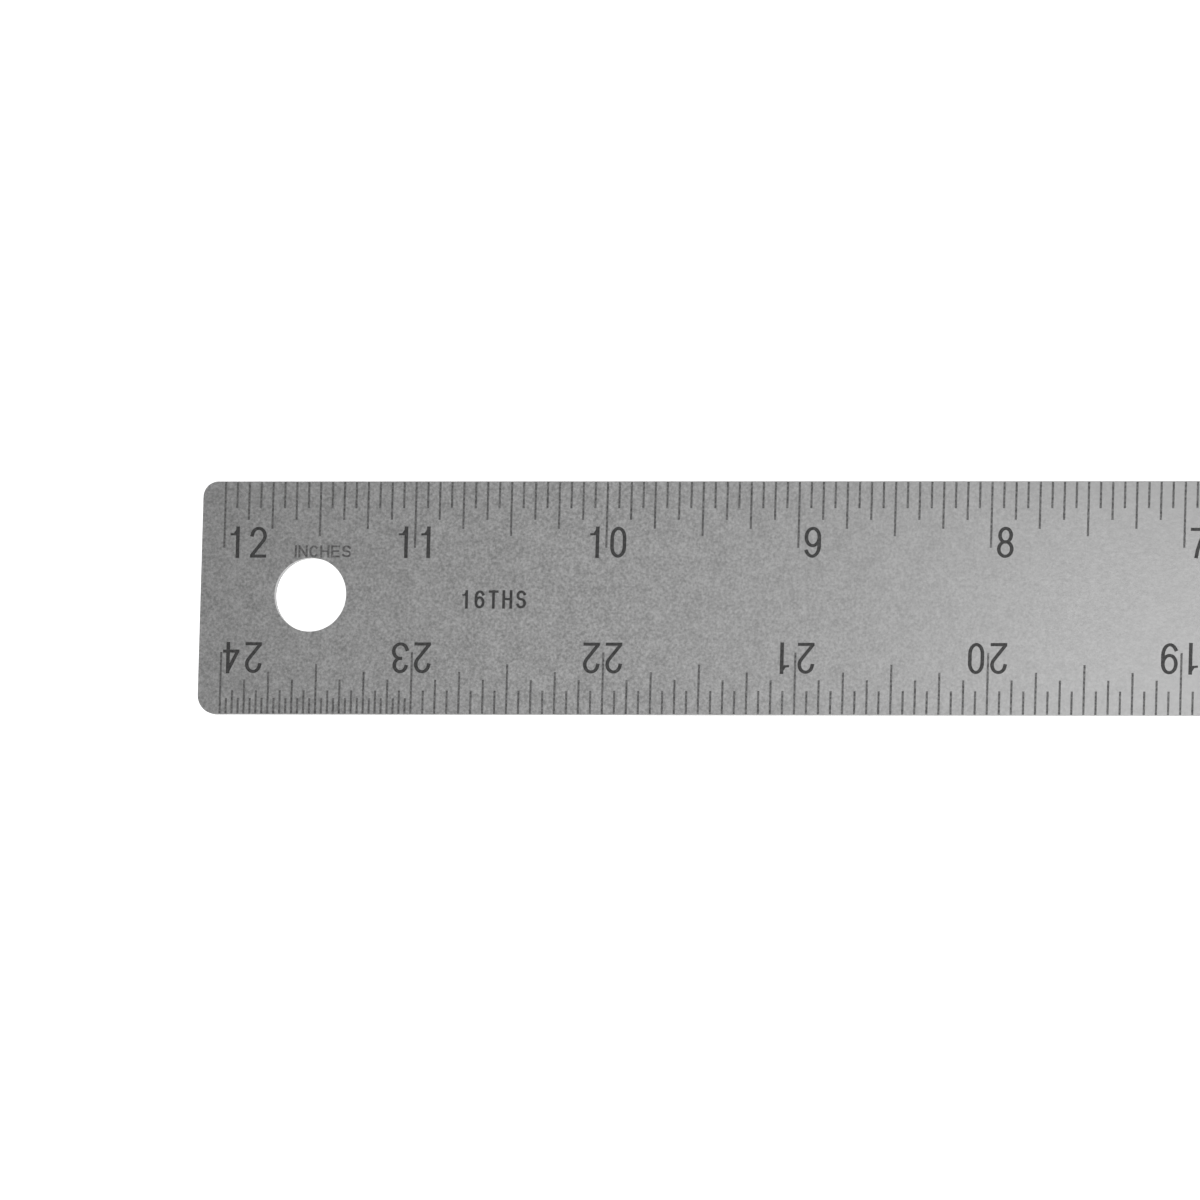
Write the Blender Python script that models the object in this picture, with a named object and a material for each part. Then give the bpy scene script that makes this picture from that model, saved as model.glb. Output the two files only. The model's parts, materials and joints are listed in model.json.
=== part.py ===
"""Cork-backed 24 inch steel rule whose zero mark is at the middle. Metres, +Z up.

The origin lies under the zero mark, in the plane that the cork stands on. +X runs along the rule
from its hang hole to its plain end, +Y points to the edge that carries the centred scale, and +Z
points out of the graduated face.
"""

import math

import bmesh
import bpy

INCH = 0.0254
MM = 0.001

# Blade: the strip of stainless steel that carries both scales.
SCALE_LENGTH = 24 * INCH
END_MARGIN = 3.0 * MM
BLADE_LENGTH = SCALE_LENGTH + 2 * END_MARGIN
BLADE_WIDTH = 1.1875 * INCH
BLADE_THICKNESS = 1.0 * MM
UPPER_CORNER_RADIUS = 2.0 * MM
LOWER_CORNER_RADIUS = 2.5 * MM

# Hang hole, beside the last mark of the scales.
HOLE_DIAMETER = 0.375 * INCH
HOLE_FROM_LAST_MARK = 11.65 * MM
HOLE_ABOVE_CENTRE_LINE = 0.4 * MM
HOLE_X = HOLE_FROM_LAST_MARK - SCALE_LENGTH / 2

# Cork strip, glued under the blade clear of its working edges and of the hang hole.
CORK_THICKNESS = 0.8 * MM
CORK_INSET = 3.0 * MM
CORK_CLEAR_OF_HOLE = 4.0 * MM
CORK_WIDTH = BLADE_WIDTH - 2 * CORK_INSET
CORK_LEFT = HOLE_X + HOLE_DIAMETER / 2 + CORK_CLEAR_OF_HOLE
CORK_RIGHT = BLADE_LENGTH / 2 - CORK_INSET
CORK_CORNER_RADIUS = 1.5 * MM

# Glue line: the adhesive film lies half way between the cork and the blade.
GLUE_LINE = 0.3 * MM
FILM_THICKNESS = 0.1 * MM
FILM_INSET = 0.5 * MM

CORNER_SEGMENTS = 8
HOLE_SEGMENTS = 64
WELD_DISTANCE = 0.001 * MM

FILM_BOTTOM = CORK_THICKNESS + (GLUE_LINE - FILM_THICKNESS) / 2
BLADE_BOTTOM = CORK_THICKNESS + GLUE_LINE


def clear_scene():
    for obj in list(bpy.data.objects):
        bpy.data.objects.remove(obj, do_unlink=True)


def collection(name):
    made = bpy.data.collections.new(name)
    bpy.context.scene.collection.children.link(made)
    return made


def material(name, colour, roughness, metallic):
    made = bpy.data.materials.new(name)
    made.use_nodes = True
    shader = made.node_tree.nodes["Principled BSDF"]
    shader.inputs["Base Color"].default_value = (*colour, 1.0)
    shader.inputs["Roughness"].default_value = roughness
    shader.inputs["Metallic"].default_value = metallic
    return made


def rounded_rectangle(length, width, upper_radius, lower_radius):
    """The outline's points, centred on the origin and anticlockwise from the right end's upper corner."""
    corners = (
        (1, 1, upper_radius, 0),
        (-1, 1, upper_radius, 90),
        (-1, -1, lower_radius, 180),
        (1, -1, lower_radius, 270),
    )
    points = []
    for side_x, side_y, radius, start in corners:
        centre_x = side_x * (length / 2 - radius)
        centre_y = side_y * (width / 2 - radius)
        for step in range(CORNER_SEGMENTS + 1):
            angle = math.radians(start + 90 * step / CORNER_SEGMENTS)
            x = centre_x + radius * math.cos(angle)
            y = centre_y + radius * math.sin(angle)
            points.append((x, y))
    return points


def flat_strip(name, outline, thickness, centre_x, bottom, home, finish):
    """A filled outline of even thickness, as a curve object, whose lower face is at the height bottom."""
    curve = bpy.data.curves.new(name, "CURVE")
    curve.dimensions = "2D"
    curve.fill_mode = "BOTH"
    curve.extrude = thickness / 2
    spline = curve.splines.new("POLY")
    spline.points.add(len(outline) - 1)
    for point, (x, y) in zip(spline.points, outline):
        point.co = (x, y, 0, 1)
    spline.use_cyclic_u = True
    curve.materials.append(finish)
    strip = bpy.data.objects.new(name, curve)
    strip.location = (centre_x, 0, bottom + thickness / 2)
    home.objects.link(strip)
    return strip


def curve_to_mesh(strip, home):
    """Replaces a curve object with a closed mesh object of the same name and place."""
    bpy.context.view_layer.update()
    evaluated = strip.evaluated_get(bpy.context.evaluated_depsgraph_get())
    mesh = bpy.data.meshes.new_from_object(evaluated)
    welder = bmesh.new()
    welder.from_mesh(mesh)
    bmesh.ops.remove_doubles(welder, verts=welder.verts, dist=WELD_DISTANCE)
    welder.to_mesh(mesh)
    welder.free()
    name = strip.name
    place = strip.matrix_world.copy()
    bpy.data.objects.remove(strip, do_unlink=True)
    solid = bpy.data.objects.new(name, mesh)
    mesh.name = name
    home.objects.link(solid)
    solid.matrix_world = place
    return solid


def hole_cutter(home):
    bpy.ops.mesh.primitive_cylinder_add(
        vertices=HOLE_SEGMENTS,
        radius=HOLE_DIAMETER / 2,
        depth=3 * BLADE_THICKNESS,
        location=(HOLE_X, HOLE_ABOVE_CENTRE_LINE, BLADE_BOTTOM + BLADE_THICKNESS / 2),
    )
    cutter = bpy.context.object
    cutter.name = "hang_hole_cutter"
    cutter.hide_render = True
    cutter.display_type = "WIRE"
    for holder in list(cutter.users_collection):
        holder.objects.unlink(cutter)
    home.objects.link(cutter)
    return cutter


def make_blade(parts, cutters):
    steel = material("stainless_steel", (0.56, 0.56, 0.55), 0.38, 1.0)
    outline = rounded_rectangle(BLADE_LENGTH, BLADE_WIDTH, UPPER_CORNER_RADIUS, LOWER_CORNER_RADIUS)
    strip = flat_strip("blade", outline, BLADE_THICKNESS, 0, BLADE_BOTTOM, parts, steel)
    blade = curve_to_mesh(strip, parts)
    hole = blade.modifiers.new("hang_hole", "BOOLEAN")
    hole.operation = "DIFFERENCE"
    hole.object = hole_cutter(cutters)


def make_cork(parts):
    cork = material("cork", (0.45, 0.28, 0.15), 0.9, 0.0)
    outline = rounded_rectangle(
        CORK_RIGHT - CORK_LEFT, CORK_WIDTH, CORK_CORNER_RADIUS, CORK_CORNER_RADIUS
    )
    middle = (CORK_LEFT + CORK_RIGHT) / 2
    flat_strip("cork_backing", outline, CORK_THICKNESS, middle, 0, parts, cork)


def make_film(parts):
    glue = material("adhesive", (0.62, 0.58, 0.48), 0.35, 0.0)
    outline = rounded_rectangle(
        CORK_RIGHT - CORK_LEFT - 2 * FILM_INSET,
        CORK_WIDTH - 2 * FILM_INSET,
        CORK_CORNER_RADIUS - FILM_INSET,
        CORK_CORNER_RADIUS - FILM_INSET,
    )
    middle = (CORK_LEFT + CORK_RIGHT) / 2
    flat_strip("adhesive_film", outline, FILM_THICKNESS, middle, FILM_BOTTOM, parts, glue)


def main():
    clear_scene()
    parts = collection("steel_rule")
    cutters = collection("cutters")
    make_blade(parts, cutters)
    make_film(parts)
    make_cork(parts)


main()
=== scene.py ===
"""Looks of a cork-backed 24 inch steel rule with its zero in the middle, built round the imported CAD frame.

Metres, in the CAD's frame: +X runs from the hang hole to the plain end, +Y points to the edge that
carries the centred scale, and +Z points out of the graduated face. Side 1 is the upper edge, the one at
+Y, whose scale reads along +X, and side -1 is the lower edge, whose scale reads along -X.
"""

import json
import math

import bmesh
import bpy
from mathutils import Matrix, Vector, noise
from mathutils.geometry import delaunay_2d_cdt


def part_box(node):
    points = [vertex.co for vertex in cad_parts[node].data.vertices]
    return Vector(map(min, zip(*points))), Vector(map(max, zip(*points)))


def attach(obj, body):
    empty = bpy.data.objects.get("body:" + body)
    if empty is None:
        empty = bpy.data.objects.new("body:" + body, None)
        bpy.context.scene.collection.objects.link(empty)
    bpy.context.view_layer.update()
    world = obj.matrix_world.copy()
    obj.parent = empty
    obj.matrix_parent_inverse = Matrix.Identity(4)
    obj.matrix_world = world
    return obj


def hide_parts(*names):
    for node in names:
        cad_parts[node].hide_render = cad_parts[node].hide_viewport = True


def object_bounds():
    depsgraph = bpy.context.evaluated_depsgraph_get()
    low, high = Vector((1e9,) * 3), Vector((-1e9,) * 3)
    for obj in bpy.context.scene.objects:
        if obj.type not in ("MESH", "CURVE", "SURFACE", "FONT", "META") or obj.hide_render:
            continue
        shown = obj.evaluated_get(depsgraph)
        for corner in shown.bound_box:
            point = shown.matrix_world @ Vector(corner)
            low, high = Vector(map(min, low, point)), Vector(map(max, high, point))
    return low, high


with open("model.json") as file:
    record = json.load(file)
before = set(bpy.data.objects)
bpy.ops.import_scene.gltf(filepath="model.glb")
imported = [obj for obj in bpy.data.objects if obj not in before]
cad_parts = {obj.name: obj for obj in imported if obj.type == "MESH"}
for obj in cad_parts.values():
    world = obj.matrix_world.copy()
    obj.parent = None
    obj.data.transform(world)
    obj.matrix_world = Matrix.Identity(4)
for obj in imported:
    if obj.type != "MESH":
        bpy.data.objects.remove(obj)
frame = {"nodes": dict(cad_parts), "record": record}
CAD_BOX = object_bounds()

MM = 0.001
INCH = 0.0254

# Places that the CAD gives.
BLADE_LOW, BLADE_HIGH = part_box("blade")
CORK_LOW, CORK_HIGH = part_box("cork_backing")
FILM_LOW, FILM_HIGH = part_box("adhesive_film")
FACE_Z = BLADE_HIGH.z
UNDER_Z = BLADE_LOW.z
HALF_WIDTH = BLADE_HIGH.y
HOLE_LOW, HOLE_HIGH = frame["record"]["physics"]["openings"][0]["box_m"]
HOLE = (Vector(HOLE_LOW) + Vector(HOLE_HIGH)) / 2


def node_points(node):
    return [vertex.co for vertex in frame["nodes"][node].data.vertices]


HOLE_RADIUS = min(math.hypot(point.x - HOLE.x, point.y - HOLE.y) for point in node_points("blade"))

# How far the blade's edges are broken, and how many steps its rounded edges and outlines have.
EDGE_BREAK = 0.05 * MM
HOLE_BREAK = 0.02 * MM
EDGE_STEPS = 4
CORNER_STEPS = 14
HOLE_STEPS = 96

# Etched marks: their depth, how far the enamel in them lies below the face, and how far from the blade's
# edge the graduations stop.
ETCH_DEPTH = 0.035 * MM
ENAMEL_BELOW_FACE = 0.010 * MM
EDGE_LIP = 0.10 * MM

# Graduations: the inches from zero to each end, the marks to the inch, their width, and how far each runs
# in from the edge, by the denominator of its fraction of an inch.
HALF_SCALE = 12
DIVISIONS = 16
FINE_DIVISIONS = 32
TICK_WIDTH = 0.29 * MM
UPPER_TICK_MM = {1: 8.6, 2: 7.1, 4: 6.15, 8: 5.0, 16: 3.5}
LOWER_TICK_MM = {1: 8.05, 2: 6.5, 4: 5.5, 8: 4.5, 16: 3.1, 32: 2.1}

# Numerals: their size, the distance from the blade's edge to their feet, and their distance along the
# rule from their mark. The end numbers are set closer to theirs, by side. They and the numbers of one digit
# stand beside their mark, and the others stand across it.
LAST_OF_ONE_DIGIT = 9
NUMERAL_HEIGHT = 4.08 * MM
NUMERAL_WIDTH = 2.20 * MM
NUMERAL_GAP = 0.77 * MM
NUMERAL_STROKE = 0.49 * MM
UPPER_NUMERAL_FEET = 9.93 * MM
LOWER_NUMERAL_FEET = 9.36 * MM
BESIDE_TICK = 0.79 * MM
END_BESIDE_TICK = {1: 0.47 * MM, -1: 0.23 * MM}
ACROSS_TICK_SHIFT = 0.09 * MM

# Points nearer to each other than this are one point.
TOUCH = 0.0003 * MM


def corner_radius(node, side):
    """Rounding of a flat node's corners on one side, read off its right end."""
    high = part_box(node)[1]
    on_end = [side * point.y for point in node_points(node) if high.x - point.x < TOUCH]
    return high.y - max(on_end)


# ---------------------------------------------------------------- outlines in the plane of the face


def rounded_rectangle(low, high, upper_radius, lower_radius, steps):
    """Points round a rectangle with rounded corners, anticlockwise from its right end's upper corner."""
    corners = (
        (high.x - upper_radius, high.y - upper_radius, upper_radius, 0),
        (low.x + upper_radius, high.y - upper_radius, upper_radius, 90),
        (low.x + lower_radius, low.y + lower_radius, lower_radius, 180),
        (high.x - lower_radius, low.y + lower_radius, lower_radius, 270),
    )
    points = []
    for x, y, radius, start in corners:
        for step in range(steps + 1):
            angle = math.radians(start + 90 * step / steps)
            points.append((x + radius * math.cos(angle), y + radius * math.sin(angle)))
    return points


def blade_outline(inset):
    margin = Vector((inset, inset, 0))
    return rounded_rectangle(
        BLADE_LOW + margin,
        BLADE_HIGH - margin,
        corner_radius("blade", 1) - inset,
        corner_radius("blade", -1) - inset,
        CORNER_STEPS,
    )


def hole_outline(inset):
    """Points round the hang hole, inset into the steel."""
    radius = HOLE_RADIUS + inset
    turns = [2 * math.pi * step / HOLE_STEPS for step in range(HOLE_STEPS)]
    return [(HOLE.x + radius * math.cos(turn), HOLE.y + radius * math.sin(turn)) for turn in turns]


# ---------------------------------------------------------------- graduations


def tick(x, length, side):
    """A graduation at x that runs in from the edge on one side."""
    inner = side * (HALF_WIDTH - length)
    outer = side * (HALF_WIDTH - EDGE_LIP)
    left = x - TICK_WIDTH / 2
    right = x + TICK_WIDTH / 2
    return [(left, inner), (right, inner), (right, outer), (left, outer)]


def graduations(start, inches, divisions, lengths_mm, side):
    """The marks of one stretch of a scale, from its first inch to its last, both ends included."""
    marks = []
    for count in range(inches * divisions + 1):
        denominator = divisions // math.gcd(count, divisions)
        length = lengths_mm[denominator] * MM
        marks.append(tick(start + count * INCH / divisions, length, side))
    return marks


def upper_scale():
    return graduations(-HALF_SCALE * INCH, 2 * HALF_SCALE, DIVISIONS, UPPER_TICK_MM, 1)


def lower_scale():
    """Sixteenths all along, with the thirty-seconds between them in the first and the last inch."""
    marks = graduations(-HALF_SCALE * INCH, 2 * HALF_SCALE, DIVISIONS, LOWER_TICK_MM, -1)
    for start in (-HALF_SCALE, HALF_SCALE - 1):
        fine = graduations(start * INCH, 1, FINE_DIVISIONS, LOWER_TICK_MM, -1)
        marks += fine[1::2]
    return marks


# ---------------------------------------------------------------- characters


# How far a curved stroke turns between its points.
ARC_STEP_DEGREES = 12


def arc(x, y, across, up, start, end):
    """Points along part of an ellipse, between two angles in degrees."""
    steps = round(abs(end - start) / ARC_STEP_DEGREES)
    turns = [math.radians(start + (end - start) * step / steps) for step in range(steps + 1)]
    return [(x + across * math.cos(turn), y + up * math.sin(turn)) for turn in turns]


def ring(x, y, across, up):
    """A whole ellipse, as a stroke that closes on itself."""
    return arc(x, y, across, up, 0, 360)


def turned_round(strokes):
    return [[(1 - x, 1 - y) for x, y in stroke] for stroke in strokes]


SIX = [
    ring(0.5, 0.31, 0.5, 0.31),
    [(0, 0.31), (0, 0.5)] + arc(0.52, 0.64, 0.52, 0.36, 180, 32),
]

# Centre lines of each character's strokes, in a box one unit wide and one unit high.
CHARACTERS = {
    "0": [arc(0.5, 0.66, 0.48, 0.34, 0, 180) + arc(0.5, 0.34, 0.48, 0.34, 180, 360) + [(0.98, 0.66)]],
    "1": [[(0.62, 0), (0.62, 1)]],
    "2": [arc(0.5, 0.73, 0.5, 0.27, 172, -40) + [(0.07, 0.07)], [(0, 0), (1, 0)]],
    "3": [arc(0.47, 0.76, 0.46, 0.24, 165, -90), arc(0.48, 0.26, 0.52, 0.26, 90, -165)],
    "4": [[(0.74, 0), (0.74, 1)], [(0.70, 0.94), (0.04, 0.31)], [(0, 0.265), (1, 0.265)]],
    "5": [
        [(0.16, 1), (0.92, 1)],
        [(0.13, 0.98), (0.07, 0.55)],
        arc(0.47, 0.32, 0.53, 0.32, 138, -160),
    ],
    "6": SIX,
    "7": [[(0, 0.965), (1, 0.965)], [(0.97, 0.92), (0.76, 0.70), (0.56, 0.45), (0.42, 0.22), (0.33, 0)]],
    "8": [ring(0.5, 0.755, 0.43, 0.245), ring(0.5, 0.26, 0.5, 0.26)],
    "9": turned_round(SIX),
    "I": [[(0, 0), (0, 1)]],
    "N": [[(0, 0), (0, 1)], [(0.08, 0.92), (0.92, 0.08)], [(1, 0), (1, 1)]],
    "C": [arc(0.5, 0.5, 0.5, 0.5, 48, 312)],
    "H": [[(0, 0), (0, 1)], [(1, 0), (1, 1)], [(0, 0.52), (1, 0.52)]],
    "E": [[(0, 0), (0, 1)], [(0, 1), (0.95, 1)], [(0, 0.52), (0.85, 0.52)], [(0, 0), (0.95, 0)]],
    "S": [arc(0.5, 0.755, 0.47, 0.245, 22, 270) + arc(0.5, 0.255, 0.5, 0.255, 90, -155)[1:]],
    "T": [[(0, 1), (1, 1)], [(0.5, 0), (0.5, 1)]],
}

# The flag of the 1 is drawn with a thinner pen.
THIN_STROKES = {"1": [[(0.14, 0.785), (0.50, 0.795)], [(0.38, 0.80), (0.62, 0.98)]]}
THIN_PEN = 0.7

# Characters that are only one stroke wide.
STROKE_WIDE = "I"

# The pen's height for its width: level strokes come out lighter than upright ones.
PEN_HEIGHT = 0.84


def ribbon(path, width):
    """Outlines of a stroke along a path: one with square ends, or two halves of a closed path."""
    points = [Vector(point) for point in path]
    closed = (points[0] - points[-1]).length < TOUCH
    if not closed:
        points[0] += (points[0] - points[1]).normalized() * width / 2
        points[-1] += (points[-1] - points[-2]).normalized() * width / 2
    left = []
    right = []
    for place, point in enumerate(points):
        before = points[place - 1] if place else points[-2]
        after = points[place + 1] if place + 1 < len(points) else points[1]
        arriving = (point - before).normalized()
        leaving = (after - point).normalized()
        if not closed and place == 0:
            arriving = leaving
        if not closed and place == len(points) - 1:
            leaving = arriving
        along = (arriving + leaving).normalized()
        across = Vector((-along.y, along.x * PEN_HEIGHT)) * width / 2 / along.dot(leaving)
        left.append(tuple(point + across))
        right.append(tuple(point - across))
    if not closed:
        return [right + left[::-1]]
    half = len(points) // 2
    halves = ((right[: half + 1], left[: half + 1]), (right[half:], left[half:]))
    return [outer + inner[::-1] for outer, inner in halves]


def written(text, start, feet, side, height, width, gap, stroke):
    """Outlines of a line of text on one side, which starts at a distance along its reading direction."""
    outlines = []
    along = start
    for character in text:
        cell = 0 if character in STROKE_WIDE else width - stroke
        strokes = [(path, stroke) for path in CHARACTERS[character]]
        strokes += [(path, THIN_PEN * stroke) for path in THIN_STROKES.get(character, [])]
        for path, weight in strokes:
            placed = []
            for x, y in path:
                across = along + stroke / 2 + x * cell
                up = stroke / 2 + y * (height - stroke)
                placed.append((side * across, feet + side * up))
            outlines += ribbon(placed, weight)
        along += cell + stroke + gap
    return outlines


def numeral(number, x, side, place):
    """A number beside or across its mark. Place is its reading side of the mark: -1, 0 or 1."""
    text = str(number)
    length = len(text) * (NUMERAL_WIDTH + NUMERAL_GAP) - NUMERAL_GAP
    clear = END_BESIDE_TICK[side] if len(text) > 1 else BESIDE_TICK
    start = {-1: -clear - length, 0: ACROSS_TICK_SHIFT - length / 2, 1: clear}[place]
    feet = HALF_WIDTH - (UPPER_NUMERAL_FEET if side > 0 else LOWER_NUMERAL_FEET)
    return written(
        text,
        side * x + start,
        side * feet,
        side,
        NUMERAL_HEIGHT,
        NUMERAL_WIDTH,
        NUMERAL_GAP,
        NUMERAL_STROKE,
    )


def upper_numerals():
    """12 down to 0 and up to 12. What isn't across its mark is on the mark's zero side."""
    outlines = []
    for inch in range(-HALF_SCALE, HALF_SCALE + 1):
        number = abs(inch)
        towards_zero = 1 if inch <= 0 else -1
        across_mark = LAST_OF_ONE_DIGIT < number < HALF_SCALE
        outlines += numeral(number, inch * INCH, 1, 0 if across_mark else towards_zero)
    return outlines


def lower_numerals():
    """0 at the plain end to 24 at the hang hole, read with the rule turned round."""
    outlines = []
    last = 2 * HALF_SCALE
    for number in range(last + 1):
        place = 0 if LAST_OF_ONE_DIGIT < number < last else -1
        if number == 0:
            place = 1
        outlines += numeral(number, (HALF_SCALE - number) * INCH, -1, place)
    return outlines


# Small legends in plain words: the unit beside the hole, and the fineness of the scales between them.
UNIT_LEGEND = "INCHES"
UNIT_LEFT = 9.40 * MM - HALF_SCALE * INCH
UNIT_CLEAR_OF_HOLE = 0.02 * MM
UNIT_HEIGHT = 1.60 * MM
UNIT_WIDTH = 1.26 * MM
UNIT_GAP = 0.19 * MM
UNIT_STROKE = 0.30 * MM
FINENESS_LEGEND = "16THS"
FINENESS_LEFT = -10.753 * INCH
FINENESS_HEIGHT = 2.40 * MM
FINENESS_WIDTH = 1.34 * MM
FINENESS_GAP = 0.50 * MM
FINENESS_STROKE = 0.38 * MM
FINENESS_MIDDLE = -0.2 * MM


def unit_legend():
    feet = HOLE.y + HOLE_RADIUS + HOLE_BREAK + UNIT_CLEAR_OF_HOLE
    return written(
        UNIT_LEGEND, UNIT_LEFT, feet, 1, UNIT_HEIGHT, UNIT_WIDTH, UNIT_GAP, UNIT_STROKE
    )


def fineness_legend():
    feet = FINENESS_MIDDLE - FINENESS_HEIGHT / 2
    return written(
        FINENESS_LEGEND,
        FINENESS_LEFT,
        feet,
        1,
        FINENESS_HEIGHT,
        FINENESS_WIDTH,
        FINENESS_GAP,
        FINENESS_STROKE,
    )


# ---------------------------------------------------------------- meshes


def anticlockwise(outline):
    turn = 0
    for (ax, ay), (bx, by) in zip(outline, outline[1:] + outline[:1]):
        turn += ax * by - bx * ay
    return outline if turn > 0 else outline[::-1]


# Outlines that pass nearer to each other than this are cut as one.
CUT_TOLERANCE_MM = 0.0001


def partition(named_outlines):
    """Cuts the face along every outline. Gives its corners, and each triangle with its group's name."""
    points = []
    faces = []
    for _, outline in named_outlines:
        faces.append(list(range(len(points), len(points) + len(outline))))
        points += [Vector((x / MM, y / MM)) for x, y in anticlockwise(outline)]
    inside_faces = 1
    cut = delaunay_2d_cdt(points, [], faces, inside_faces, CUT_TOLERANCE_MM)
    corners = [(corner.x * MM, corner.y * MM) for corner in cut[0]]
    triangles = []
    for triangle, owners in zip(cut[2], cut[5]):
        groups = {named_outlines[owner][0] for owner in owners}
        marks = sorted(groups - {"plate", "hole"})
        if "hole" not in groups:
            triangles.append((tuple(triangle), marks[0] if marks else "plate"))
    return corners, triangles


def piece_from(name, faces, material, slot, *nodes):
    """Makes one closed mesh of faces given as (corner places, smooth), which rides on the rule."""
    mesh = bpy.data.meshes.new(name)
    builder = bmesh.new()
    for places, smooth in faces:
        face = builder.faces.new([builder.verts.new(place) for place in places])
        face.smooth = smooth
    bmesh.ops.remove_doubles(builder, verts=builder.verts, dist=TOUCH)
    bmesh.ops.recalc_face_normals(builder, faces=builder.faces)
    builder.to_mesh(mesh)
    builder.free()
    mesh.materials.append(material)
    piece = bpy.data.objects.new(name, mesh)
    bpy.context.scene.collection.objects.link(piece)
    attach(piece, "root")
    if nodes:
        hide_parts(*nodes)


def raised(points, z):
    return [(x, y, z) for x, y in points]


def strips(loops, smooth):
    """Quads that join each loop of points to the next."""
    faces = []
    for loop, following in zip(loops, loops[1:]):
        for place in range(len(loop)):
            after = (place + 1) % len(loop)
            corners = [loop[place], loop[after], following[after], following[place]]
            faces.append((corners, smooth))
    return faces


def edge_profile(width):
    """Insets and heights down an edge broken by a width, from the face to the underside."""
    profile = []
    for step in range(EDGE_STEPS + 1):
        angle = math.pi / 2 * step / EDGE_STEPS
        inset = width * (1 - math.sin(angle))
        drop = width * (1 - math.cos(angle))
        profile.append((inset, drop))
    upper = [(inset, FACE_Z - drop) for inset, drop in profile]
    lower = [(inset, UNDER_Z + drop) for inset, drop in reversed(profile)]
    return upper + lower


def mark_edges(triangles):
    """Every mark triangle's edges, each with the group on its other side."""
    beyond = {}
    for (a, b, c), group in triangles:
        for edge in ((a, b), (b, c), (c, a)):
            beyond[edge] = group
    edges = []
    for (a, b, c), group in triangles:
        if group != "plate":
            for start, end in ((a, b), (b, c), (c, a)):
                edges.append((start, end, group, beyond.get((end, start), "plate")))
    return edges


def make_blade(corners, triangles, material):
    floor_z = FACE_Z - ETCH_DEPTH
    faces = []
    for triangle, group in triangles:
        z = FACE_Z if group == "plate" else floor_z
        faces.append((raised([corners[corner] for corner in triangle], z), False))
    for start, end, _, other in mark_edges(triangles):
        if other == "plate":
            a = corners[start]
            b = corners[end]
            faces.append(([(*a, floor_z), (*b, floor_z), (*b, FACE_Z), (*a, FACE_Z)], False))
    for outline, width in ((blade_outline, EDGE_BREAK), (hole_outline, HOLE_BREAK)):
        faces += strips([raised(outline(inset), z) for inset, z in edge_profile(width)], True)
    under = [("plate", blade_outline(EDGE_BREAK)), ("hole", hole_outline(HOLE_BREAK))]
    under_corners, under_triangles = partition(under)
    for triangle, _ in under_triangles:
        faces.append((raised([under_corners[corner] for corner in triangle], UNDER_Z), False))
    piece_from("steel_blade", faces, material, "steel", "blade")


def make_enamel(name, corners, triangles, material):
    """The enamel left in one group of marks, from their floors up to just under the face."""
    floor_z = FACE_Z - ETCH_DEPTH
    top_z = FACE_Z - ENAMEL_BELOW_FACE
    faces = []
    for triangle, group in triangles:
        if group == name:
            flat = [corners[corner] for corner in triangle]
            faces.append((raised(flat, top_z), False))
            faces.append((raised(flat, floor_z), False))
    for start, end, group, other in mark_edges(triangles):
        if group == name and other != name:
            a = corners[start]
            b = corners[end]
            faces.append(([(*a, floor_z), (*b, floor_z), (*b, top_z), (*a, top_z)], False))
    piece_from(name, faces, material, "enamel")


# Cork: the size of its granules and of the mesh cells that show them, the depth and width of the gaps
# between granules, the share of that depth by which the granules differ in height, and a factor that sets
# their centres far apart in the noise that gives those heights.
GRANULE = 1.1 * MM
CORK_CELL = 0.60 * MM
PIT_DEPTH = 0.05 * MM
PIT_WIDTH = 0.22 * GRANULE
UNEVEN_SHARE = 0.25
HEIGHT_SHUFFLE = 7.3


def granule_pit(x, y):
    """Depth of the cork's surface at a point: granules of their own heights, with gaps between them."""
    place = Vector((x, y, 0)) / GRANULE
    distances, centres = noise.voronoi(place)
    on_granule = min(1, (distances[1] - distances[0]) * GRANULE / PIT_WIDTH)
    lower = 0.5 + 0.5 * noise.noise(centres[0] * HEIGHT_SHUFFLE)
    return PIT_DEPTH * ((1 - UNEVEN_SHARE) * (1 - on_granule) + UNEVEN_SHARE * lower)


def into_corner(x, y, low, high, radius):
    """Draws a point of a square corner in to the corner's rounding."""
    centre_x = min(max(x, low.x + radius), high.x - radius)
    centre_y = min(max(y, low.y + radius), high.y - radius)
    out = Vector((x - centre_x, y - centre_y))
    reach = max(abs(out.x), abs(out.y))
    if out.length < TOUCH:
        return x, y
    out *= reach / out.length
    return centre_x + out.x, centre_y + out.y


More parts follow.
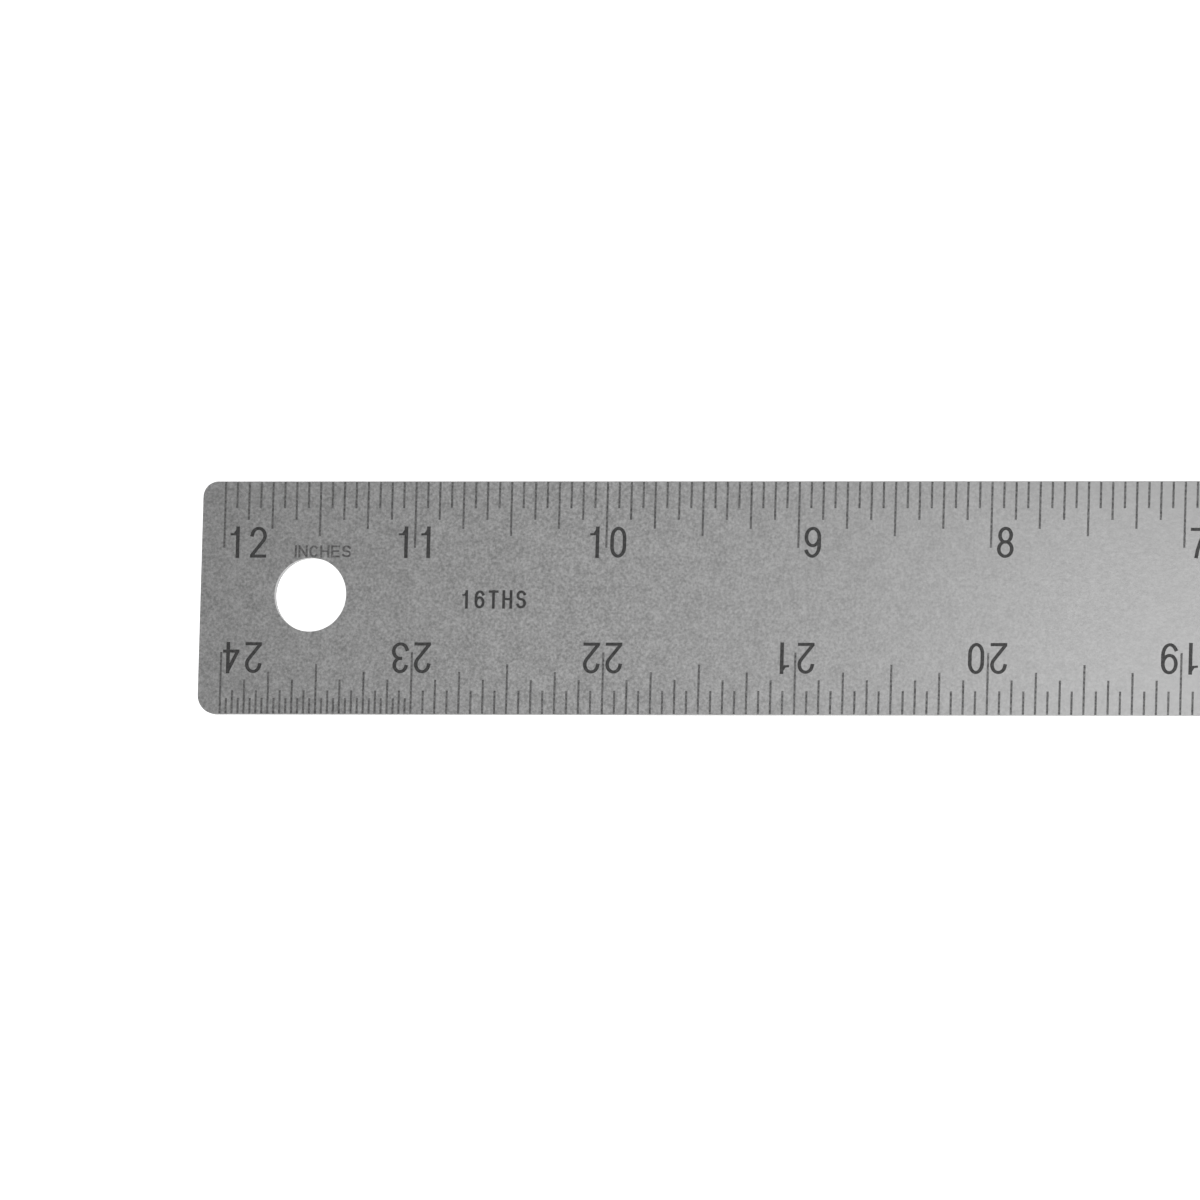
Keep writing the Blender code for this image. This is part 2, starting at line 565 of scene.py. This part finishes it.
def make_cork(material):
    across = round((CORK_HIGH.x - CORK_LOW.x) / CORK_CELL)
    up = round((CORK_HIGH.y - CORK_LOW.y) / CORK_CELL)
    step_x = (CORK_HIGH.x - CORK_LOW.x) / across
    step_y = (CORK_HIGH.y - CORK_LOW.y) / up
    radius = corner_radius("cork_backing", 1)
    grid = []
    for row in range(up + 1):
        line = []
        for column in range(across + 1):
            x = CORK_LOW.x + column * step_x
            y = CORK_LOW.y + row * step_y
            line.append(into_corner(x, y, CORK_LOW, CORK_HIGH, radius))
        grid.append(line)
    border = (
        [(0, column) for column in range(across)]
        + [(row, across) for row in range(up)]
        + [(up, column) for column in range(across, 0, -1)]
        + [(row, 0) for row in range(up, 0, -1)]
    )
    faces = []
    bottom = [[(x, y, CORK_LOW.z + granule_pit(x, y)) for x, y in line] for line in grid]
    for row in range(up):
        for column in range(across):
            corners = [
                bottom[row][column],
                bottom[row][column + 1],
                bottom[row + 1][column + 1],
                bottom[row + 1][column],
            ]
            faces.append((corners, True))
    rim_low = [bottom[row][column] for row, column in border]
    rim_high = [(x, y, CORK_HIGH.z) for x, y, _ in rim_low]
    faces += strips([rim_low, rim_high], False)
    faces.append((rim_high, False))
    piece_from("cork_strip", faces, material, "cork", "cork_backing")


# Adhesive: how far its squeezed edge wanders, over what length, and the spacing of its points.
SWAY = 0.15 * MM
SWAY_LENGTH = 4 * MM
FILM_STEP = 2 * MM
FILM_CORNER_STEPS = 6


def make_film(material):
    """The adhesive, pressed out to fill the glue line between the cork and the steel."""
    radius = corner_radius("adhesive_film", 1)
    outline = rounded_rectangle(FILM_LOW, FILM_HIGH, radius, radius, FILM_CORNER_STEPS)
    waved = []
    for start, end in zip(outline, outline[1:] + outline[:1]):
        a = Vector((*start, 0))
        b = Vector((*end, 0))
        parts = max(1, round((b - a).length / FILM_STEP))
        for part in range(parts):
            point = a.lerp(b, part / parts)
            sway = SWAY * noise.noise(point / SWAY_LENGTH)
            side = 1 if point.y > 0 else -1
            waved.append((point.x, point.y + side * sway))
    low = raised(waved, CORK_HIGH.z)
    high = raised(waved, UNDER_Z)
    faces = strips([low, high], False) + [(low, False), (high, False)]
    piece_from("adhesive", faces, material, "adhesive", "adhesive_film")


# ---------------------------------------------------------------- materials


class Finish:
    """A material's node tree, with short names for the nodes that every finish here uses."""

    def __init__(self, name):
        self.material = bpy.data.materials.new(name)
        self.material.use_nodes = True
        self.tree = self.material.node_tree
        self.shader = self.tree.nodes["Principled BSDF"]
        self.places = self.node("ShaderNodeTexCoord").outputs["Object"]

    def node(self, kind, **settings):
        made = self.tree.nodes.new(kind)
        for name, value in settings.items():
            setattr(made, name, value)
        return made

    def feed(self, socket, value):
        if isinstance(value, bpy.types.NodeSocket):
            self.tree.links.new(value, socket)
        else:
            socket.default_value = value

    def stretched(self, x, y, z):
        mapping = self.node("ShaderNodeMapping")
        mapping.inputs["Scale"].default_value = (x, y, z)
        self.feed(mapping.inputs["Vector"], self.places)
        return mapping.outputs["Vector"]

    def noise(self, size, detail=2.0, rough=0.5, places=None):
        """Noise whose features are about size across, in metres."""
        made = self.node("ShaderNodeTexNoise")
        self.feed(made.inputs["Vector"], places or self.places)
        self.feed(made.inputs["Scale"], 1 / size)
        self.feed(made.inputs["Detail"], detail)
        self.feed(made.inputs["Roughness"], rough)
        return made.outputs["Fac"]

    def cells(self, size, feature, output):
        made = self.node("ShaderNodeTexVoronoi", feature=feature)
        self.feed(made.inputs["Vector"], self.places)
        self.feed(made.inputs["Scale"], 1 / size)
        return made.outputs[output]

    def place(self, axis):
        parts = self.node("ShaderNodeSeparateXYZ")
        self.feed(parts.inputs["Vector"], self.places)
        return parts.outputs[axis]

    def facing_up(self):
        """1 on a level surface, above or below, and 0 on an upright wall."""
        parts = self.node("ShaderNodeSeparateXYZ")
        self.feed(parts.inputs["Vector"], self.node("ShaderNodeNewGeometry").outputs["Normal"])
        return self.math("ABSOLUTE", parts.outputs["Z"])

    def ranged(self, value, low, high, to_low, to_high):
        made = self.node("ShaderNodeMapRange")
        sockets = ("Value", "From Min", "From Max", "To Min", "To Max")
        for name, given in zip(sockets, (value, low, high, to_low, to_high)):
            self.feed(made.inputs[name], given)
        return made.outputs["Result"]

    def math(self, operation, first, second=0.0):
        made = self.node("ShaderNodeMath", operation=operation)
        self.feed(made.inputs[0], first)
        self.feed(made.inputs[1], second)
        return made.outputs[0]

    def blend(self, factor, first, second):
        made = self.node("ShaderNodeMix", data_type="RGBA")
        self.feed(made.inputs["Factor"], factor)
        self.feed(made.inputs["A"], first)
        self.feed(made.inputs["B"], second)
        return made.outputs["Result"]

    def bump(self, height, distance, strength):
        made = self.node("ShaderNodeBump")
        self.feed(made.inputs["Height"], height)
        self.feed(made.inputs["Distance"], distance)
        self.feed(made.inputs["Strength"], strength)
        self.feed(self.shader.inputs["Normal"], made.outputs["Normal"])


def grey(level):
    return level, level, level, 1


# The values between which nearly all of a noise lies.
NOISE_RANGE = (0.3, 0.7)

# Sheared walls: how little a surface faces up for it to be a wall, the tones of the burnished and the torn
# band, the height of the torn one, and the size, reach and blur of the ragged line between the two.
WALL_RANGE = (0.25, 0.75)
BURNISHED = grey(0.39)
TORN = grey(0.28)
TORN_BAND = 0.55 * MM
RAGGED_SIZE = 0.5 * MM
RAGGED_REACH = 0.15 * MM
BAND_BLUR = 0.04 * MM


def torn_band(steel):
    """1 on the lower band of a sheared wall, where the steel tore, and 0 on the burnished band above it."""
    line = steel.noise(RAGGED_SIZE, 2.0, 0.6)
    ragged = steel.ranged(line, *NOISE_RANGE, -RAGGED_REACH, RAGGED_REACH)
    height = steel.math("ADD", steel.place("Z"), ragged)
    middle = UNDER_Z + TORN_BAND
    return steel.ranged(height, middle - BAND_BLUR, middle + BAND_BLUR, 1.0, 0.0)


# Blasted face: the size of its specks, the tones of the darkest, the lightest and the ground between them,
# the size and share of the clouds in their pattern, and the size, depth and roughness of the grain. On the
# walls the pattern is drawn out into upright streaks.
SPECK_SIZE = 0.34 * MM
SPECK_DARK = grey(0.357)
SPECK_LIGHT = grey(0.679)
SPECK_GROUND = grey(0.518)
SPECK_RANGE = (0.32, 0.68)
CLOUD_SIZE = 2.5 * MM
CLOUD_SHARE = 0.18
GRAIN_SIZE = 0.46 * MM
GRAIN_DEPTH = 0.012 * MM
SATIN = (0.30, 0.38)
STREAK = 0.1

# Painted light: the specks are painted with stronger contrast at the rule's ends, standing in for how the
# lamps bring out the grain there. Between these distances from zero they fade to a share of that.
PAINTED_LIGHT_FADE_FROM = 0.255
PAINTED_LIGHT_FADE_TO = 0.175
PAINTED_LIGHT_FADED_SHARE = 0.06


def blasted_tone(steel):
    """The colour of the blasted face: fine specks, a little cloudy, with painted light that makes them
    fainter towards the rule's middle.
    """
    specks = steel.noise(SPECK_SIZE, 2.0, 0.6, steel.stretched(1.0, 1.0, STREAK))
    clouds = steel.noise(CLOUD_SIZE)
    fine = steel.math("MULTIPLY", specks, 1 - CLOUD_SHARE)
    pattern = steel.math("ADD", fine, steel.math("MULTIPLY", clouds, CLOUD_SHARE))
    speckled = steel.blend(steel.ranged(pattern, *SPECK_RANGE, 0.0, 1.0), SPECK_DARK, SPECK_LIGHT)
    # Painted light: the specks' contrast fades with the distance from the rule's ends towards its middle.
    from_zero = steel.math("ABSOLUTE", steel.place("X"))
    strength = steel.ranged(from_zero, PAINTED_LIGHT_FADE_TO, PAINTED_LIGHT_FADE_FROM, PAINTED_LIGHT_FADED_SHARE, 1.0)
    return steel.blend(strength, SPECK_GROUND, speckled)


def steel_finish():
    """Satin stainless steel: a fine blasted grain, and duller walls where it was sheared."""
    steel = Finish("satin_stainless")
    grain = steel.noise(GRAIN_SIZE, 2.0, 0.6, steel.stretched(0.8, 1.15, STREAK))
    sheared = steel.blend(torn_band(steel), BURNISHED, TORN)
    wall = steel.ranged(steel.facing_up(), *WALL_RANGE, 1.0, 0.0)
    steel.feed(steel.shader.inputs["Base Color"], steel.blend(wall, blasted_tone(steel), sheared))
    steel.feed(steel.shader.inputs["Metallic"], 1.0)
    steel.feed(steel.shader.inputs["Roughness"], steel.ranged(grain, *NOISE_RANGE, *SATIN))
    steel.bump(grain, GRAIN_DEPTH, 1.0)
    return steel.material


# Enamel: the tones of its dark and light patches where it fills a mark and where it is wiped thin, the size
# of the patches, and their roughness and relief.
FULL_ENAMEL = (grey(0.035), grey(0.095))
THIN_ENAMEL = (grey(0.075), grey(0.29))
PATCH_SIZE = 0.35 * MM
PATCH_RANGE = (0.35, 0.7)
PATCH_DEPTH = 0.003 * MM
MATT = (0.5, 0.7)


def enamel_finish(name, tones):
    """Matt enamel that fills the etching, a little patchy where it was wiped."""
    enamel = Finish(name)
    patches = enamel.noise(PATCH_SIZE, 3.0, 0.6)
    colour = enamel.blend(enamel.ranged(patches, *PATCH_RANGE, 0.0, 1.0), *tones)
    enamel.feed(enamel.shader.inputs["Base Color"], colour)
    enamel.feed(enamel.shader.inputs["Roughness"], enamel.ranged(patches, *NOISE_RANGE, *MATT))
    enamel.bump(patches, PATCH_DEPTH, 0.4)
    return enamel.material


# Cork: the tones of the darkest and the lightest granule, of bark, of the gaps between granules and of
# rubbed fibres, how much of the last three shows and where in its pattern each sets in, how far from a gap
# the relief falls off, and the size, relief and roughness of the fibres.
DARK_CORK = (0.30, 0.165, 0.075, 1)
LIGHT_CORK = (0.52, 0.33, 0.17, 1)
BARK = (0.08, 0.04, 0.02, 1)
GAP = (0.10, 0.05, 0.025, 1)
RUBBED_CORK = (0.62, 0.44, 0.26, 1)
BARK_SHOWS = 0.85
GAP_SHOWS = 0.75
RUBBED_SHOWS = 0.35
BARK_RANGE = (0.90, 0.94)
GAP_RANGE = (0.0, 0.07)
RUBBED_RANGE = (0.35, 0.75)
GAP_SLOPE = 0.1
FIBRE_SIZE = 0.25 * MM
FIBRE_DEPTH = 0.05 * MM
DRY = (0.82, 0.96)


def cork_finish():
    """Pressed cork: granules of several browns, some of them bark, with dark gaps between them."""
    cork = Finish("pressed_cork")
    granules = cork.cells(GRANULE, "F1", "Color")
    split = cork.node("ShaderNodeSeparateColor")
    cork.feed(split.inputs["Color"], granules)
    gaps = cork.cells(GRANULE, "DISTANCE_TO_EDGE", "Distance")
    fibres = cork.noise(FIBRE_SIZE, 4.0, 0.7)
    brown = cork.blend(split.outputs["Red"], DARK_CORK, LIGHT_CORK)
    bark = cork.ranged(split.outputs["Green"], *BARK_RANGE, 0.0, BARK_SHOWS)
    flecked = cork.blend(bark, brown, BARK)
    lined = cork.blend(cork.ranged(gaps, *GAP_RANGE, GAP_SHOWS, 0.0), flecked, GAP)
    worn = cork.blend(cork.ranged(fibres, *RUBBED_RANGE, 0.0, RUBBED_SHOWS), lined, RUBBED_CORK)
    cork.feed(cork.shader.inputs["Base Color"], worn)
    cork.feed(cork.shader.inputs["Roughness"], cork.ranged(fibres, *NOISE_RANGE, *DRY))
    relief = cork.math("ADD", fibres, cork.ranged(gaps, 0.0, GAP_SLOPE, 0.0, 1.0))
    cork.bump(relief, FIBRE_DEPTH, 0.6)
    return cork.material


# Adhesive: its bubbles' size, relief and tone, its own tone, its roughness, and the distances from a
# bubble's middle between which the tone and the roughness change.
BUBBLE_SIZE = 0.4 * MM
BUBBLE_DEPTH = 0.02 * MM
BUBBLE = (0.80, 0.76, 0.64, 1)
GLUE = (0.62, 0.57, 0.44, 1)
GLOSSY = (0.25, 0.4)
TONE_RANGE = (0.15, 0.5)
GLOSS_RANGE = (0.1, 0.6)


def adhesive_finish():
    """Clear acrylic glue, slightly yellow, with small trapped bubbles."""
    glue = Finish("acrylic_adhesive")
    bubbles = glue.cells(BUBBLE_SIZE, "F1", "Distance")
    colour = glue.blend(glue.ranged(bubbles, *TONE_RANGE, 0.0, 1.0), BUBBLE, GLUE)
    glue.feed(glue.shader.inputs["Base Color"], colour)
    glue.feed(glue.shader.inputs["Roughness"], glue.ranged(bubbles, *GLOSS_RANGE, *GLOSSY))
    glue.bump(bubbles, BUBBLE_DEPTH, 0.3)
    return glue.material


# ---------------------------------------------------------------- the rule


def make_rule():
    groups = {
        "upper_graduations": upper_scale(),
        "lower_graduations": lower_scale(),
        "upper_numerals": upper_numerals(),
        "lower_numerals": lower_numerals(),
        "unit_legend": unit_legend(),
        "fineness_legend": fineness_legend(),
    }
    outlines = [("plate", blade_outline(EDGE_BREAK)), ("hole", hole_outline(HOLE_BREAK))]
    for name, marks in groups.items():
        outlines += [(name, mark) for mark in marks]
    corners, triangles = partition(outlines)
    make_blade(corners, triangles, steel_finish())
    full = enamel_finish("enamel_full", FULL_ENAMEL)
    thin = enamel_finish("enamel_thin", THIN_ENAMEL)
    for name in groups:
        material = full if name.endswith("numerals") or name == "fineness_legend" else thin
        make_enamel(name, corners, triangles, material)
    make_film(adhesive_finish())
    make_cork(cork_finish())


# ---------------------------------------------------------------- stage, lights and camera

# White table: its size in metres, its own glow, its roughness, and the size and tones of its mottling.
FLOOR_SIZE = 60.0
FLOOR_GLOW = 0.85
FLOOR_ROUGHNESS = 0.9
MOTTLE_SIZE = 0.4
MOTTLE_TONES = (grey(0.86), grey(0.89))

# Brightness of the studio's air at the horizon and overhead, and how far up a direction has to point, from
# 0 to 1, for its air to count as overhead.
HORIZON_LIGHT = 1.0
OVERHEAD_LIGHT = 0.17
OVERHEAD_FROM = 0.75


def make_floor():
    """A plain white table that the cork stands on."""
    floor = Finish("white_table")
    mottle = floor.noise(MOTTLE_SIZE)
    floor.feed(floor.shader.inputs["Base Color"], floor.blend(mottle, *MOTTLE_TONES))
    floor.feed(floor.shader.inputs["Roughness"], FLOOR_ROUGHNESS)
    floor.feed(floor.shader.inputs["Emission Color"], grey(1))
    floor.feed(floor.shader.inputs["Emission Strength"], FLOOR_GLOW)
    bpy.ops.mesh.primitive_plane_add(size=FLOOR_SIZE, location=(0, 0, CAD_BOX[0].z))
    table = bpy.context.object
    table.name = "table"
    table.data.materials.append(floor.material)


def make_world():
    """Even studio air, brighter towards the horizon than overhead."""
    world = bpy.data.worlds.new("studio")
    world.use_nodes = True
    nodes = world.node_tree.nodes
    links = world.node_tree.links
    direction = nodes.new("ShaderNodeTexCoord")
    parts = nodes.new("ShaderNodeSeparateXYZ")
    ramp = nodes.new("ShaderNodeValToRGB")
    links.new(direction.outputs["Generated"], parts.inputs["Vector"])
    links.new(parts.outputs["Z"], ramp.inputs["Fac"])
    horizon, overhead = ramp.color_ramp.elements
    horizon.position = 0.0
    horizon.color = grey(HORIZON_LIGHT)
    overhead.position = OVERHEAD_FROM
    overhead.color = grey(OVERHEAD_LIGHT)
    links.new(ramp.outputs["Color"], nodes["Background"].inputs["Color"])
    bpy.context.scene.world = world


def make_panel(name, centre, aim, width, depth, power):
    """A soft rectangular light that points at a place."""
    lamp = bpy.data.lights.new(name, "AREA")
    lamp.shape = "RECTANGLE"
    lamp.size = width
    lamp.size_y = depth
    lamp.energy = power
    light = bpy.data.objects.new(name, lamp)
    light.location = centre
    light.rotation_mode = "QUATERNION"
    light.rotation_quaternion = (Vector(centre) - Vector(aim)).to_track_quat("Z", "Y")
    light.visible_camera = False
    bpy.context.scene.collection.objects.link(light)


# Soft panels over the rule, each by its left edge, upper edge, height, width, depth and power in watts.
PANELS = {
    "high_panel": (-0.42, 0.12, 0.40, 1.00, 0.90, 1.61),
    "low_panel": (-0.243, 0.035, 0.15, 0.80, 0.60, 0.72),
}


def make_lights():
    """Panels that start near the rule's left end and upper edge, so that the steel brightens from there."""
    make_world()
    for name, (left, top, height, width, depth, power) in PANELS.items():
        x = left + width / 2
        y = top - depth / 2
        make_panel(name, (x, y, height), (x, y, 0), width, depth, power)


# The camera looks at a point of the face near its left end, from well to the right and a little below.
CAMERA_AIM = Vector((-10.0252 * INCH, -0.0105 * INCH, FACE_Z))
CAMERA_DISTANCE = 3.5954
CAMERA_TILT = math.radians(15.60)
CAMERA_BEARING = math.radians(-22.85)
CAMERA_ROLL = math.radians(1.58)
CAMERA_LENS_MM = 840.2
CAMERA_SENSOR_MM = 36.0


def make_camera():
    back = Vector(
        (
            math.sin(CAMERA_TILT) * math.cos(CAMERA_BEARING),
            math.sin(CAMERA_TILT) * math.sin(CAMERA_BEARING),
            math.cos(CAMERA_TILT),
        )
    )
    right = Vector((0, 1, 0)).cross(back).normalized()
    up = back.cross(right)
    rotation = Matrix((right, up, back)).transposed() @ Matrix.Rotation(CAMERA_ROLL, 3, "Z")
    data = bpy.data.cameras.new("camera")
    data.lens = CAMERA_LENS_MM
    data.sensor_width = CAMERA_SENSOR_MM
    data.clip_start = 0.1
    data.clip_end = 100
    camera = bpy.data.objects.new("camera", data)
    camera.matrix_world = Matrix.LocRotScale(CAMERA_AIM + back * CAMERA_DISTANCE, rotation, None)
    bpy.context.scene.collection.objects.link(camera)
    bpy.context.scene.camera = camera


make_camera()
make_rule()
make_floor()
make_lights()
bpy.context.scene.view_settings.view_transform = "Standard"
